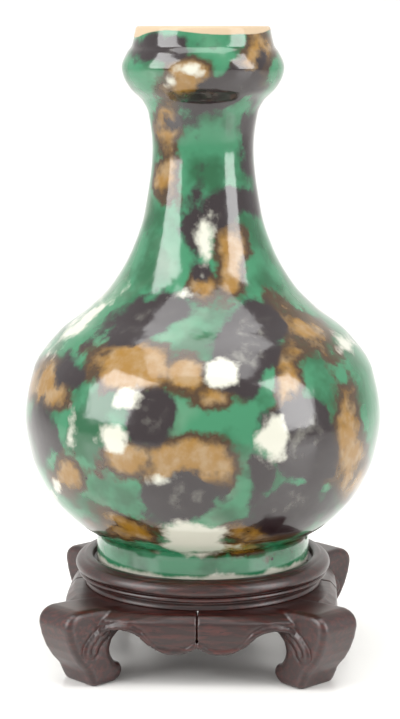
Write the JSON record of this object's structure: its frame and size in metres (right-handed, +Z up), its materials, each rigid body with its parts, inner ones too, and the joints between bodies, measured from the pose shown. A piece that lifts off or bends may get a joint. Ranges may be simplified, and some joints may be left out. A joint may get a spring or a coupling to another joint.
{
  "type": "garlic-mouth vase with stand",
  "caption": "Garlic-mouth bottle vase with splashed egg-and-spinach glaze, lifting off a carved dark hardwood stand with cusped aprons and scrolled legs.",
  "frame": {"origin": "middle of the plane that the four feet of the stand rest on", "axes": "+Z up along the vase's axis, -Y towards the apron that faces the viewer, +X to the viewer's right"},
  "size_m": [0.13, 0.13, 0.23],
  "materials": {
    "splashed_glaze": "glossy splashed lead glaze in green, amber, aubergine and white",
    "dark_hardwood": "waxed and rubbed, soft gloss",
    "joinery_wood": "plain, unfinished"
  },
  "bodies": {
    "stand": {"floor_board": "dark_hardwood", "top_ring": "dark_hardwood", "waist_collar": "dark_hardwood", "leg_front_left": "dark_hardwood", "leg_front_right": "dark_hardwood", "leg_back_left": "dark_hardwood", "leg_back_right": "dark_hardwood", "seam_tongue_front": "joinery_wood", "seam_tongue_right": "joinery_wood", "seam_tongue_back": "joinery_wood", "seam_tongue_left": "joinery_wood", "ring_peg_front_left": "joinery_wood", "ring_peg_front_right": "joinery_wood", "ring_peg_back_left": "joinery_wood", "ring_peg_back_right": "joinery_wood"},
    "vase": {"lower_body": "splashed_glaze", "upper_body": "splashed_glaze", "neck": "splashed_glaze", "garlic_mouth": "splashed_glaze"}
  },
  "joints": [
    {"name": "vase_lift", "type": "slide", "parent": "stand", "child": "vase", "axis": [0, 0, 1], "range_m": [0, 0.05]}
  ]
}
